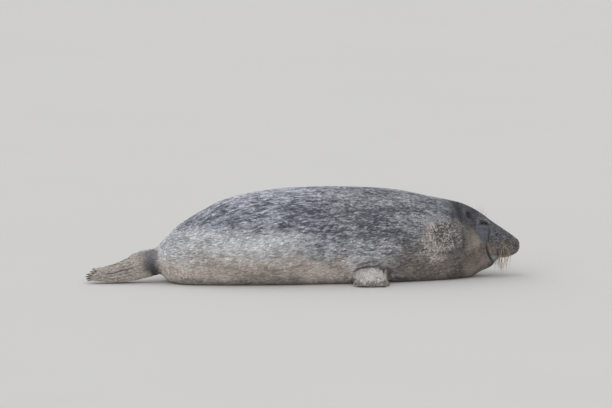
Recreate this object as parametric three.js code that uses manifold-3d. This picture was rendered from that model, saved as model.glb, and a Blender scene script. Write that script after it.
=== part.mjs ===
// A young grey seal hauled out on flat sand, lying on its belly with its nose a little off the
// ground, life size and still, as a museum would show it.
//
// Millimetres, +Z up. The nose points along +X and the animal's left side is +Y. The belly, the
// throat, the fore flippers and the hind flippers rest on z = 0.
//
// The whole body is one lofted skin, parted with thin cuts into rump, trunk, neck and head. The
// flippers and the tail are lofts of their own that stop just short of it.

import * as THREE from 'three';
import { LoftGeometry } from 'three/addons/geometries/LoftGeometry.js';
import { mergeVertices } from 'three/addons/utils/BufferGeometryUtils.js';
import Module from 'manifold-3d';

const wasm = await Module();
wasm.setup();

// ---- Driving dimensions ------------------------------------------------------------------------

const GAP = 0.3; // left between two parts that meet
const HALF_GAP = GAP / 2;
const FLOOR = 0;
const REACH = 2000; // longer than the animal, for the slabs that part it

// The body's four long lines, each a list of [x, value] stations from the rump to the nose.
const BACK = [
	[ - 440, 84 ], [ - 437, 102 ], [ - 420, 124 ], [ - 397, 147 ], [ - 370, 171 ], [ - 309, 208 ],
	[ - 248, 240 ], [ - 158, 264 ], [ - 36, 278 ], [ 60, 280 ], [ 206, 275 ], [ 297, 265.5 ],
	[ 388, 245 ], [ 448, 233 ], [ 479, 225 ], [ 509, 211 ], [ 539, 194 ], [ 600, 148 ],
	[ 630, 129 ], [ 646, 116.5 ], [ 656, 104 ], [ 660, 91 ],
];
const BELLY = [
	[ - 440, 60 ], [ - 433, 38 ], [ - 420, 18 ], [ - 405, 5 ], [ - 380, - 8 ], [ - 330, - 14 ],
	[ 440, - 14 ], [ 480, - 9 ], [ 512, 0 ], [ 548, 18 ], [ 566, 24 ], [ 581, 36 ], [ 589, 57 ],
	[ 615, 58 ], [ 632, 60 ], [ 645, 66 ], [ 655, 76 ], [ 660, 88 ],
];
const HALF_WIDTH = [
	[ - 440, 18 ], [ - 433, 46 ], [ - 410, 76 ], [ - 370, 101 ], [ - 300, 127 ], [ - 200, 150 ],
	[ - 60, 163 ], [ 120, 162 ], [ 250, 147 ], [ 350, 124 ], [ 420, 104 ], [ 470, 87 ],
	[ 515, 70 ], [ 545, 58 ], [ 575, 45 ], [ 600, 41 ], [ 632, 39 ], [ 646, 32.5 ], [ 655, 22 ],
	[ 660, 3 ],
];
// The height at which each section is widest.
const WAIST = [
	[ - 440, 72 ], [ - 370, 88 ], [ - 200, 116 ], [ 100, 122 ], [ 400, 112 ], [ 500, 118 ],
	[ 545, 122 ], [ 580, 102 ], [ 615, 86 ], [ 660, 90 ],
];
// How square the sections are, as superellipse powers: 2 is an ellipse, more is fuller. Below the
// waist the fat body spreads on the ground, and the head is nearly round.
const UPPER_POWER = 2.1;
const LOWER_POWER = [ [ - 440, 2 ], [ - 340, 2.9 ], [ 420, 3.1 ], [ 520, 2.4 ], [ 660, 2.1 ] ];

const AROUND = 30; // points around the body
// The stretch that makes the body a hair larger, and the height of its centre.
const CLEARANCE = [ 1.0011, 1.003, 1.003 ];
const CLEARANCE_HEIGHT = 120;
// Ring spacing along the body, as [from x, step], the last station ending at the nose.
const RING_STEPS = [
	[ - 440, 3 ], [ - 434, 7 ], [ - 413, 13 ], [ - 374, 25 ], [ - 300, 50 ], [ 300, 32 ],
	[ 428, 14 ], [ 470, 10 ], [ 640, 6 ], [ 655, 2.5 ],
];

// Soft forms raised or sunk on the loft, on both sides where the place is off the middle:
// centre, spread and height of each.
const FORMS = [
	{ name: 'brow', at: [ 536, 36, 184 ], spread: [ 20, 16, 14 ], lift: 4 },
	{ name: 'crown', at: [ 500, 0, 212 ], spread: [ 34, 30, 20 ], lift: 1.5 },
	{ name: 'cheek', at: [ 534, 58, 112 ], spread: [ 26, 24, 30 ], lift: 4 },
	{ name: 'eye hollow', at: [ 556, 44, 158 ], spread: [ 13, 14, 12 ], lift: - 3.5 },
	{ name: 'bridge of the nose', at: [ 596, 0, 148 ], spread: [ 34, 12, 14 ], lift: 2.5 },
	{ name: 'whisker pad', at: [ 620, 34, 80 ], spread: [ 24, 18, 18 ], lift: 7 },
	{ name: 'mouth corner', at: [ 571, 46, 78 ], spread: [ 7, 18, 16 ], lift: - 4 },
	{ name: 'neck fold', at: [ 474, 84, 150 ], spread: [ 9, 34, 60 ], lift: - 2 },
	{ name: 'upper arm', at: [ 192, 150, 74 ], spread: [ 66, 44, 36 ], lift: 10 },
	{ name: 'armpit', at: [ 268, 140, 40 ], spread: [ 18, 30, 30 ], lift: - 5 },
	{ name: 'hip', at: [ - 330, 108, 96 ], spread: [ 60, 44, 44 ], lift: 4 },
];

// Where the body is parted. The neck meets the head on a slant, from behind the ears at the top
// to the throat.
const RUMP_CUT_X = - 300;
const NECK_CUT_X = 300;
const HEAD_CUT_TOP = new THREE.Vector2( 458, 232 );
const HEAD_CUT_THROAT = new THREE.Vector2( 536, 8 );

const EYE_RADIUS = 17;
const EYE_CENTRE = [ 547.3, 31.8, 156.5 ];
const EAR_CENTRE = [ 494, 57, 188.5 ];
const EAR_HALF_SIZE = [ 3.2, 7, 9 ];

const NOSE_CENTRE = [ 652, 0, 104 ];
const NOSE_HALF_SIZE = [ 14, 16, 12 ];

// The lower jaw lies between the hanging lips: [x, half-width, low z, high z].
const JAW = [
	[ 562, 22, 52, 72 ], [ 590, 22, 53.5, 70 ], [ 608, 18, 54.5, 69 ], [ 620, 12, 57, 68 ],
	[ 624, 5, 60, 65 ],
];
const JAW_AROUND = 14;
const JAW_POWER = 0.75; // squares the jaw's sections a little

// Each flipper is a loft along a spine. A station holds the spine point, the width across the
// digits and the thickness through them.
const DIGITS = 5;
const FORE_FLIPPER = {
	stations: [
		{ at: [ 194, - 96, 37 ], width: 76, thickness: 48 },
		{ at: [ 190, - 130, 30 ], width: 98, thickness: 44 },
		{ at: [ 187, - 160, 23.5 ], width: 112, thickness: 38 },
		{ at: [ 185, - 182, 18 ], width: 114, thickness: 30 },
		{ at: [ 184, - 197, 12 ], width: 104, thickness: 21 },
		{ at: [ 184, - 207, 7 ], width: 84, thickness: 12 },
	],
	across: [ 1, 0, 0 ],
	arch: 27, // how far the two borders droop below the middle
	ridge: 1.4, // height of the digits over the web between them
	scallop: 3, // how far each digit stands past the web at the tip
	lengths: [ - 7, - 2, 0, 1, - 3 ], // how much longer than the spine each digit is
	rings: 8,
};
const HIND_FLIPPER = {
	stations: [
		{ at: [ - 404, - 15, 64 ], width: 66, thickness: 30 },
		{ at: [ - 440, - 16, 60 ], width: 74, thickness: 29 },
		{ at: [ - 480, - 16, 51 ], width: 77, thickness: 27 },
		{ at: [ - 527, - 15.5, 40.5 ], width: 70, thickness: 24 },
		{ at: [ - 565, - 14.5, 30.5 ], width: 56, thickness: 21 },
		{ at: [ - 600, - 13, 28.5 ], width: 46, thickness: 18 },
		{ at: [ - 626, - 12, 27.5 ], width: 38, thickness: 15 },
		{ at: [ - 642, - 11, 26 ], width: 31, thickness: 10 },
	],
	across: [ 0, 0, - 1 ],
	arch: 0,
	ridge: 1.8,
	scallop: 4,
	lengths: [ - 15, - 9, 2, 5, 3 ],
	rings: 10,
};
const FLIPPER_AROUND = 24;
const SPREADING = [ 0.25, 0.8 ]; // shares of the length over which the digits come apart
const TIP = [ 0.7, 1 ]; // shares of the length over which the tip is shaped
const BACK_POWER = 0.8; // flattens a flipper's back and sole
const BORDER_POWER = 0.4; // keeps its borders full
const ARCH_POWER = 3.4; // rounds the arch of a flipper that droops at its borders

const TAIL = [
	{ x: - 404, z: 91, half: 19, thickness: 17 },
	{ x: - 440, z: 95.5, half: 20, thickness: 15 },
	{ x: - 478, z: 94, half: 19, thickness: 12 },
	{ x: - 505, z: 86.5, half: 15, thickness: 9 },
	{ x: - 522, z: 80.5, half: 8, thickness: 5 },
];
const TAIL_AROUND = 16;

const BALL_AROUND = 16; // faces around an eyeball or the nose
const BALL_RINGS = 9;

// A claw's root sits on the back of its digit, at a share of the flipper's length, sunk a little,
// and the claw points along its heading.
const FORE_CLAW = {
	length: 13, radius: 2.2, bend: 0.4, root: 0.91, sink: 1, heading: [ 0.3, - 0.7, - 0.65 ],
};
const HIND_CLAW = {
	length: 10, radius: 2.2, bend: 0.4, root: 0.93, sink: 0.9, heading: [ - 1, 0, - 0.15 ],
};
const CLAW_SIDES = 5;
const CLAW_BANDS = 2;

// ---- Materials ---------------------------------------------------------------------------------

function coat( name, color ) {

	return new THREE.MeshStandardMaterial( { name, color, roughness: 0.9, metalness: 0 } );

}

const FACE_COAT = coat( 'face coat', 0x5f5a59 );
const NECK_COAT = coat( 'neck coat', 0x6d6966 );
const BACK_COAT = coat( 'back coat', 0x7c7d83 );
const RUMP_COAT = coat( 'rump coat', 0x98958f );
const FLIPPER_COAT = coat( 'flipper coat', 0x938b83 );
const WET_NOSE = new THREE.MeshStandardMaterial( { name: 'wet nose', color: 0x2c2a2b, roughness: 0.45 } );
const EYEBALL = new THREE.MeshStandardMaterial( { name: 'eyeball', color: 0x14100e, roughness: 0.12 } );
const CLAW_HORN = new THREE.MeshStandardMaterial( { name: 'claw horn', color: 0x2f2a26, roughness: 0.5 } );

// ---- Curves and solids -------------------------------------------------------------------------

// A smooth line through [x, value] stations that never overshoots them.
function lineThrough( stations ) {

	const rises = stations.slice( 1 ).map( ( [ x, value ], i ) => {

		const [ x0, value0 ] = stations[ i ];
		return ( value - value0 ) / ( x - x0 );

	} );
	const slopes = stations.map( ( _, i ) => {

		const before = rises[ Math.max( i - 1, 0 ) ];
		const after = rises[ Math.min( i, rises.length - 1 ) ];
		return before * after <= 0 ? 0 : 2 * before * after / ( before + after );

	} );
	return ( x ) => {

		let i = 0;
		while ( i < rises.length - 1 && x > stations[ i + 1 ][ 0 ] ) i ++;
		const [ x0, v0 ] = stations[ i ];
		const [ x1, v1 ] = stations[ i + 1 ];
		const span = x1 - x0;
		const t = THREE.MathUtils.clamp( ( x - x0 ) / span, 0, 1 );
		const s = 1 - t;
		return v0 * ( 1 + 2 * t ) * s * s + v1 * ( 3 - 2 * t ) * t * t
			+ span * ( slopes[ i ] * t * s * s - slopes[ i + 1 ] * t * t * s );

	};

}

function signedPower( value, power ) {

	return Math.sign( value ) * Math.abs( value ) ** power;

}

// A closed geometry as a solid for joining and cutting.
function solidOf( geometry ) {

	const bare = new THREE.BufferGeometry();
	bare.setAttribute( 'position', geometry.getAttribute( 'position' ) );
	bare.setIndex( geometry.getIndex() );
	const merged = mergeVertices( bare );
	const corners = merged.getIndex().array;
	const kept = [];
	for ( let i = 0; i < corners.length; i += 3 ) {

		const [ a, b, c ] = corners.subarray( i, i + 3 );
		if ( a !== b && b !== c && c !== a ) kept.push( a, b, c );

	}

	return new wasm.Manifold( new wasm.Mesh( {
		numProp: 3,
		vertProperties: Float32Array.from( merged.getAttribute( 'position' ).array ),
		triVerts: Uint32Array.from( kept ),
	} ) );

}

function geometryOf( solid ) {

	const { vertProperties, triVerts } = solid.getMesh();
	const geometry = new THREE.BufferGeometry();
	geometry.setAttribute( 'position', new THREE.BufferAttribute( vertProperties, 3 ) );
	geometry.setIndex( new THREE.BufferAttribute( triVerts, 1 ) );
	geometry.computeVertexNormals();
	return geometry;

}

function mirrored( geometry ) {

	const copy = new THREE.BufferGeometry().copy( geometry ).scale( 1, - 1, 1 );
	const index = copy.getIndex();
	for ( let i = 0; i < index.count; i += 3 ) {

		const first = index.getX( i );
		index.setX( i, index.getX( i + 1 ) );
		index.setX( i + 1, first );

	}

	return copy;

}

function ellipsoid( centre, halfSize, grow = 0 ) {

	const geometry = new THREE.SphereGeometry( 1, BALL_AROUND, BALL_RINGS );
	geometry.scale( ...halfSize.map( ( half ) => half + grow ) );
	return geometry.translate( ...centre );

}

// ---- The body ----------------------------------------------------------------------------------

const back = lineThrough( BACK );
const belly = lineThrough( BELLY );
const halfWidth = lineThrough( HALF_WIDTH );
const waist = lineThrough( WAIST );
const lowerPower = lineThrough( LOWER_POWER );

// How far the soft forms push the skin out at a point.
function formLift( x, y, z ) {

	return FORMS.reduce( ( sum, { at, spread, lift } ) => {

		const shares = [ x, Math.abs( y ), z ].map( ( value, axis ) => ( value - at[ axis ] ) / spread[ axis ] );
		return sum + lift * Math.exp( - shares.reduce( ( squares, share ) => squares + share * share, 0 ) );

	}, 0 );

}

// The point of the skin at a station along the body and an angle around it.
function skinPoint( x, angle ) {

	const middle = waist( x );
	const side = Math.cos( angle );
	const rise = Math.sin( angle );
	const power = 2 / ( rise > 0 ? UPPER_POWER : lowerPower( x ) );
	const height = rise > 0 ? back( x ) - middle : middle - belly( x );
	const point = new THREE.Vector3(
		x,
		halfWidth( x ) * signedPower( side, power ),
		middle + height * signedPower( rise, power ),
	);
	const outward = new THREE.Vector3( 0, point.y, point.z - middle ).normalize();
	point.addScaledVector( outward, formLift( point.x, point.y, point.z ) );
	point.z = Math.max( point.z, FLOOR );
	return point;

}

function ringStations() {

	const noseX = BACK.at( - 1 )[ 0 ];
	const stations = [];
	RING_STEPS.forEach( ( [ from, step ], i ) => {

		const to = i + 1 < RING_STEPS.length ? RING_STEPS[ i + 1 ][ 0 ] : noseX + step / 2;
		for ( let x = from; x < to - step / 100; x += step ) stations.push( x );

	} );
	return stations;

}

function bodyGeometry() {

	const sections = ringStations().map( ( x ) => Array.from(
		{ length: AROUND },
		( _, i ) => skinPoint( x, 2 * Math.PI * i / AROUND ),
	) );
	return new LoftGeometry( sections, { capStart: true, capEnd: true } );

}

// The body a hair larger, to cut what meets it.
function clearanceGeometry() {

	return bodyGeometry().translate( 0, 0, - CLEARANCE_HEIGHT ).scale( ...CLEARANCE )
		.translate( 0, 0, CLEARANCE_HEIGHT );

}

// A slab of space between two upright planes, to part the body with.
function slab( fromX, toX ) {

	const box = new THREE.BoxGeometry( toX - fromX, REACH, REACH );
	return solidOf( box.translate( ( fromX + toX ) / 2, 0, 0 ) );

}

// The space on the head's side of its slanted cut.
function headSide( shift ) {

	const along = HEAD_CUT_THROAT.clone().sub( HEAD_CUT_TOP );
	const slant = Math.atan2( along.x, - along.y );
	const box = new THREE.BoxGeometry( REACH, REACH, 2 * REACH ).translate( REACH / 2 + shift, 0, 0 );
	box.rotateY( - slant ).translate( HEAD_CUT_TOP.x, 0, HEAD_CUT_TOP.y );
	return solidOf( box );

}

function jawGeometry( grow = 0 ) {

	const sections = JAW.map( ( [ x, half, low, high ], row ) => {

		const end = row === 0 ? - grow : grow;
		const middle = ( low + high ) / 2;
		return Array.from( { length: JAW_AROUND }, ( _, i ) => {

			const angle = 2 * Math.PI * i / JAW_AROUND;
			return new THREE.Vector3(
				x + end,
				( half + grow ) * signedPower( Math.cos( angle ), JAW_POWER ),
				middle + ( ( high - low ) / 2 + grow ) * signedPower( Math.sin( angle ), JAW_POWER ),
			);

		} );

	} );
	return new LoftGeometry( sections, { capStart: true, capEnd: true } );

}

// ---- Flippers, tail and claws ------------------------------------------------------------------

// Where a digit lies across a flipper that runs from -1 to 1.
function digitPlace( digit ) {

	return ( digit - ( DIGITS - 1 ) / 2 ) * 2 / DIGITS;

}

// Raised along each digit and zero in the webs between, for a place across the flipper.
function digitRise( place ) {

	return Math.abs( Math.cos( place * Math.PI * DIGITS / 2 ) );

}

// The spine, the size and the directions of a flipper at a share of its length.
function flipperFrame( plan, share ) {

	const along = share * ( plan.stations.length - 1 );
	const points = plan.stations.map( ( station ) => new THREE.Vector3( ...station.at ) );
	const spine = new THREE.CatmullRomCurve3( points );
	const across = new THREE.Vector3( ...plan.across );
	const ahead = spine.getTangent( share );
	const through = new THREE.Vector3().crossVectors( ahead, across ).normalize();
	const sizeOf = ( key ) => {

		const line = lineThrough( plan.stations.map( ( station, i ) => [ i, station[ key ] ] ) );
		return line( along );

	};

	return {
		centre: spine.getPoint( share ), across, ahead, through,
		half: sizeOf( 'width' ) / 2, thick: sizeOf( 'thickness' ) / 2,
	};

}

// A point of the flipper's skin: place runs from -1 to 1 across it, and depth from 1 on its back
// to -1 on its sole.
function flipperPoint( plan, share, place, depth ) {

	const { centre, across, ahead, through, half, thick } = flipperFrame( plan, share );
	const spread = THREE.MathUtils.smoothstep( share, ...SPREADING );
	const tip = THREE.MathUtils.smoothstep( share, ...TIP );
	const rise = digitRise( place );
	const lengths = plan.lengths.map( ( length, digit ) => [ digitPlace( digit ), length ] );
	const longer = lineThrough( lengths )( place );
	const droop = plan.arch * ( 1 - tip ) * Math.abs( place ) ** ARCH_POWER;
	const edge = Math.sqrt( Math.max( 1 - place * place, 0 ) );
	const body = thick * signedPower( depth, BACK_POWER ) * edge ** BORDER_POWER;
	const point = centre.clone()
		.addScaledVector( across, half * place )
		.addScaledVector( through, body + Math.sign( depth ) * plan.ridge * spread * rise * edge - droop )
		.addScaledVector( ahead, longer * spread + plan.scallop * tip * rise );
	point.z = Math.max( point.z, FLOOR );
	return point;

}

function flipperGeometry( plan ) {

	const sections = Array.from( { length: plan.rings + 1 }, ( _, row ) => Array.from(
		{ length: FLIPPER_AROUND },
		( __, i ) => {

			const angle = 2 * Math.PI * i / FLIPPER_AROUND;
			return flipperPoint( plan, row / plan.rings, Math.cos( angle ), Math.sin( angle ) );

		},
	) );
	return new LoftGeometry( sections, { capStart: true, capEnd: true } );

}

function tailGeometry( grow = 0 ) {

	const sections = TAIL.map( ( { x, z, half, thickness } ) => Array.from(
		{ length: TAIL_AROUND },
		( _, i ) => {

			const angle = 2 * Math.PI * i / TAIL_AROUND;
			return new THREE.Vector3(
				x - 2 * grow,
				- ( half + grow ) * Math.cos( angle ),
				z + ( thickness / 2 + grow ) * Math.sin( angle ),
			);

		},
	) );
	return new LoftGeometry( sections, { capStart: true, capEnd: true } );

}

// A claw from its root at the origin, pointing along +Y and hooked towards -Z.
function clawGeometry( { length, radius, bend }, grow = 0 ) {

	const cone = new THREE.ConeGeometry( radius + grow, length + 2 * grow, CLAW_SIDES, CLAW_BANDS );
	cone.translate( 0, length / 2, 0 );
	const place = cone.getAttribute( 'position' );
	for ( let i = 0; i < place.count; i ++ ) {

		const along = Math.max( place.getY( i ), 0 ) / length;
		place.setZ( i, place.getZ( i ) - bend * length * along * along / 2 );

	}

	return cone;

}

// The claws of one flipper, one on the back of each digit.
function clawsOf( plan, claw, grow = 0 ) {

	const { through } = flipperFrame( plan, claw.root );
	const heading = new THREE.Vector3( ...claw.heading ).normalize();
	const side = new THREE.Vector3().crossVectors( heading, through ).normalize();
	const over = new THREE.Vector3().crossVectors( side, heading );
	const turn = new THREE.Matrix4().makeBasis( side, heading, over );
	return Array.from( { length: DIGITS }, ( _, digit ) => {

		const root = flipperPoint( plan, claw.root, digitPlace( digit ), 1 );
		root.addScaledVector( through, - claw.sink );
		return clawGeometry( claw, grow ).applyMatrix4( turn ).translate( ...root );

	} );

}

// ---- The seal ----------------------------------------------------------------------------------

const seal = new THREE.Group();
seal.name = 'grey seal';

function addPart( name, solid, material ) {

	const mesh = new THREE.Mesh( geometryOf( solid ), material );
	mesh.name = name;
	seal.add( mesh );

}

const SIDES = [ [ 'right', ( geometry ) => geometry ], [ 'left', mirrored ] ];
const body = solidOf( bodyGeometry() );
const clearance = solidOf( clearanceGeometry() );

addPart( 'rump', body.intersect( slab( - REACH, RUMP_CUT_X - HALF_GAP ) ), RUMP_COAT );
addPart( 'trunk', body.intersect( slab( RUMP_CUT_X + HALF_GAP, NECK_CUT_X - HALF_GAP ) ), BACK_COAT );
const front = body.intersect( slab( NECK_CUT_X + HALF_GAP, REACH ) );
addPart( 'neck', front.subtract( headSide( - HALF_GAP ) ), NECK_COAT );

let head = body.intersect( headSide( HALF_GAP ) );
const jaw = solidOf( jawGeometry() ).subtract( slab( - REACH, HEAD_CUT_THROAT.x ) );
const nose = head.intersect( solidOf( ellipsoid( NOSE_CENTRE, NOSE_HALF_SIZE ) ) );
head = head.subtract( solidOf( jawGeometry( GAP ) ) );
head = head.subtract( solidOf( ellipsoid( NOSE_CENTRE, NOSE_HALF_SIZE, GAP ) ) );
for ( const [ side, place ] of SIDES ) {

	const rightOf = ( [ x, y, z ] ) => [ x, - y, z ];
	const eyeSize = [ EYE_RADIUS, EYE_RADIUS, EYE_RADIUS ];
	const eye = ( grow ) => solidOf( place( ellipsoid( rightOf( EYE_CENTRE ), eyeSize, grow ) ) );
	const ear = solidOf( place( ellipsoid( rightOf( EAR_CENTRE ), EAR_HALF_SIZE ) ) );
	head = head.subtract( eye( GAP ) ).subtract( ear );
	addPart( `eye_${side}`, eye( 0 ), EYEBALL );

}

addPart( 'head', head, FACE_COAT );
addPart( 'jaw', jaw, FACE_COAT );
addPart( 'nose', nose, WET_NOSE );

const tail = solidOf( tailGeometry() );
addPart( 'tail', tail.subtract( clearance ), FLIPPER_COAT );

for ( const [ side, place ] of SIDES ) {

	for ( const [ limb, plan, claw ] of [
		[ 'fore', FORE_FLIPPER, FORE_CLAW ],
		[ 'hind', HIND_FLIPPER, HIND_CLAW ],
	] ) {

		let flipper = solidOf( place( flipperGeometry( plan ) ) ).subtract( clearance );
		if ( limb === 'hind' ) flipper = flipper.subtract( solidOf( tailGeometry( GAP ) ) );
		clawsOf( plan, claw, GAP ).forEach( ( cut ) => {

			flipper = flipper.subtract( solidOf( place( cut ) ) );

		} );
		addPart( `${limb}_flipper_${side}`, flipper, FLIPPER_COAT );
		clawsOf( plan, claw ).forEach( ( geometry, digit ) => {

			addPart( `${limb}_claw_${side}_${digit + 1}`, solidOf( place( geometry ) ), CLAW_HORN );

		} );

	}

}

// The origin is under the middle of the animal's box, on the floor.
const box = new THREE.Box3().setFromObject( seal );
const centre = box.getCenter( new THREE.Vector3() );
seal.position.set( - centre.x, - centre.y, - box.min.z );

export default seal;
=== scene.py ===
"""A young grey seal lying on its belly: its skin, short coat, eyes, claws and whiskers.

Everything is in metres in the frame's own axes: the nose points along +X, the animal's left
side is +Y and the floor is z = 0.
"""

import math

import bmesh
import bpy
import numpy as np
from bpy.props import FloatProperty, FloatVectorProperty, IntProperty, PointerProperty
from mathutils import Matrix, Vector
from mathutils.bvhtree import BVHTree


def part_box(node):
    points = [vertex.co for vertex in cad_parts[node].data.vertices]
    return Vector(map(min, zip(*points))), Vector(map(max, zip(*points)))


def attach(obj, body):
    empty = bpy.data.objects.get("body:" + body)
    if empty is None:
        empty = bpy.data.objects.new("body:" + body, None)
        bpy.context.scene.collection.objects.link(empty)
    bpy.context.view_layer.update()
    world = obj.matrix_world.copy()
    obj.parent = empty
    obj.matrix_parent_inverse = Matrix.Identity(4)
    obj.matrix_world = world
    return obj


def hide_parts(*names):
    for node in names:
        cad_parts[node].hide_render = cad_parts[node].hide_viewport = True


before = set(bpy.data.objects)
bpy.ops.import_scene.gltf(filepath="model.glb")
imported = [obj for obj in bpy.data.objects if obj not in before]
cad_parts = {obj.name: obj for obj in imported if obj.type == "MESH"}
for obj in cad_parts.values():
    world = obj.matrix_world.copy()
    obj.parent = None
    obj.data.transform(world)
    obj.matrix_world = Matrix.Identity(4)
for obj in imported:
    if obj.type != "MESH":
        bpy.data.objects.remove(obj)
bpy.context.view_layer.update()

bl_info = {
    "name": "Grey seal",
    "version": (1, 0, 0),
    "blender": (4, 5, 0),
    "location": "View3D > Sidebar > Seal",
    "description": "Dresses a life-size grey seal: skin, coat, eyes, claws, whiskers and stage",
    "category": "Object",
}

# ---- The animal's landmarks, worked out from the frame ----

MM = 0.001
SIDES = {"right": -1, "left": 1}
FLIPPERS = ("fore", "hind")
DIGITS = 5
FLESH = ["rump", "trunk", "neck", "head", "jaw", "nose", "tail"]
FLESH += [f"{limb}_flipper_{side}" for limb in FLIPPERS for side in SIDES]


def middle_of(node):
    """The middle of a node's box."""
    low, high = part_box(node)
    return (np.array(low) + np.array(high)) / 2


def size_of(node):
    """The three sides of a node's box."""
    low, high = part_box(node)
    return np.array(high) - np.array(low)


EYE = middle_of("eye_left")
EYE_RADIUS = size_of("eye_left")[0] / 2
NOSE = middle_of("nose")
NOSE_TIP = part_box("nose")[1].x
TAIL_ROOT = np.array((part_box("tail")[1].x, 0.0, middle_of("tail")[2]))
HIND_ROOT_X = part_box("hind_flipper_left")[1].x

# The eye looks out and up. The slit between its lids lies across this direction.
GAZE = (-0.156, 0.847, 0.508)
SLIT_SLOPE = (0.97, 0.0, -0.17)
SLIT_HALF = 12.5 * MM
SLIT_UP = 6.2 * MM
SLIT_DOWN = 3.4 * MM

# Folds of the head's side: places forward of and above the eye's centre, the fold's half width and
# depth, and how dark the shade painted into it is, all in millimetres apart from the last.
HEAD_FOLDS = [
    ("upper lid", [(-19, 5), (-13, 14), (-2, 18.5), (9, 15), (20, 3)], 2.0, 2.2, 0.8),
    ("lower lid", [(-16, -3), (-6, -9), (6, -10), (16, -3)], 1.8, 0.9, 0.25),
    ("tear fold", [(16, -8), (13, -24), (11.5, -38), (9, -50)], 3.6, 3.0, 1.4),
    ("mouth corner", [(3, -50), (5, -60), (8, -73), (13, -86), (20, -98), (28, -111)],
     4.2, 5.5, 1.5),
    ("cheek", [(-8, -54), (-2, -84), (12, -108)], 4.0, 1.4, 0.25),
    ("ear", [(-47, 45), (-49, 36), (-49, 25)], 7.0, 7.5, 3.0),
    ("behind the ear", [(-80, 62), (-76, 46), (-75, 24), (-74, 8)], 8.0, 2.4, 0.7),
    ("neck edge", [(-74, 14), (-70, -15), (-67, -40), (-70, -92)], 5.0, 2.4, 0.35),
    ("jaw", [(-47, -14), (-44, -52), (-36, -88)], 5.0, 1.4, 0.3),
    ("temple", [(-62, 30), (-60, 8), (-52, -12)], 3.5, 1.5, 0.4),
]

# Folds of the body's side, as places along the body and above the floor, and the rest as above.
BODY_FOLDS = [
    ("neck", [(446, 196), (440, 150), (446, 108)], 9.0, 2.2, 0.25),
    ("nape", [(404, 205), (396, 160), (402, 120)], 12.0, 1.6, 0.12),
    ("low neck", [(356, 84), (400, 79), (452, 88)], 5.0, 2.2, 0.4),
    ("lower neck", [(378, 60), (424, 56), (466, 66)], 5.0, 2.2, 0.4),
    ("lowest neck", [(340, 36), (392, 34), (440, 42)], 5.0, 1.8, 0.35),
    ("shoulder", [(318, 70), (300, 108), (262, 126)], 12.0, 1.6, 0.15),
    ("arm", [(128, 34), (146, 51), (176, 57), (210, 57), (225, 42), (230, 16)], 3.6, 4.0, 1.2),
    ("over the arm", [(136, 54), (168, 70), (202, 70), (223, 57), (236, 34)], 4.5, 2.8, 0.6),
    ("armpit", [(236, 60), (244, 44), (250, 20)], 6.0, 3.0, 0.9),
    ("behind the arm", [(120, 46), (114, 28), (114, 12)], 5.0, 2.0, 0.5),
]

# A nostril as places out from the middle and above the nose's centre, the upper lip's groove as
# heights above it, and a lip as places ahead of the jaw's front and out, all in millimetres.
NOSTRIL = [(4.5, -9), (6, -3), (9, 3), (13, 7)]
LIP_GROOVE = (-10, -18, -26)
LIP = [(-48, 22), (-30, 21.5), (-16, 17), (-6, 9), (0, 0)]

# The pad that the whiskers grow from: its first root ahead of and above the eye's centre, the step
# between roots, how far each row and column slants, and how low the pad reaches, in millimetres.
PAD_START = (47, -46)
PAD_STEP = 8
PAD_SLANT = 2.2
PAD_LOW = -93
PAD_ROWS = 6

# The wet hair under an eye: its middle and half size from the eye's centre, in millimetres, and
# how much it leans.
WET_MIDDLE = (-3, -10)
WET_SIZE = (24, 38)
WET_LEAN = 0.22

# The nose pad: its middle from the nose's centre and its half size, in millimetres.
PAD_MIDDLE = (4, 0, -2)
PAD_SIZE = (15, 17, 13)


def smooth(low, high, value):
    """Runs from 0 at low to 1 at high, easing at both ends."""
    share = np.clip((value - low) / (high - low), 0, 1)
    return share * share * (3 - 2 * share)


def from_tip(x, start, end):
    """Runs from 0 at one distance behind the nose's tip to 1 at another."""
    return smooth(NOSE_TIP - start, NOSE_TIP - end, x)


def unit(vectors):
    """Vectors brought to length 1."""
    vectors = np.asarray(vectors, float)
    length = np.linalg.norm(vectors, axis=-1, keepdims=True)
    return vectors / np.maximum(length, 1e-12)


def dot(a, b):
    """The dot product of each pair of rows."""
    return np.einsum("ij,ij->i", a, b)


# ---- Settings ----


def colour_property(name, description, default):
    """A colour that a user may change."""
    return FloatVectorProperty(
        name=name, description=description, default=default, subtype="COLOR", size=3, min=0, max=1
    )


def length_property(name, description, default):
    """A length that a user may change."""
    return FloatProperty(
        name=name, description=description, default=default, min=0, unit="LENGTH", precision=4
    )


class SealSkinSettings(bpy.types.PropertyGroup):
    """How the one skin is drawn from the frame's flesh."""

    voxel: length_property("Voxel", "Grain of the merged body before its face is refined", 5 * MM)
    coat_depth: length_property("Coat depth", "How far the body's skin lies inside", 2.6 * MM)
    face_depth: length_property("Face depth", "How far the skin of the face lies inside", 1.3 * MM)


class SealCoatSettings(bpy.types.PropertyGroup):
    """The coat's tufts."""

    seed: IntProperty(name="Seed", description="Start of the random draws", default=7)
    body_length: length_property("Body length", "Length of a tuft on the body", 13.5 * MM)
    body_width: length_property("Body width", "Width of a tuft on the body", 2.4 * MM)
    face_length: length_property("Face length", "Length of a tuft on the face", 5.5 * MM)
    face_width: length_property("Face width", "Width of a tuft on the face", 1.2 * MM)
    flipper_length: length_property("Flipper length", "Length of a flipper's tuft", 8 * MM)
    flipper_width: length_property("Flipper width", "Width of a flipper's tuft", 1.8 * MM)
    lift: length_property("Lift", "Height of a tuft's tip over the skin", 2 * MM)


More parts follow.
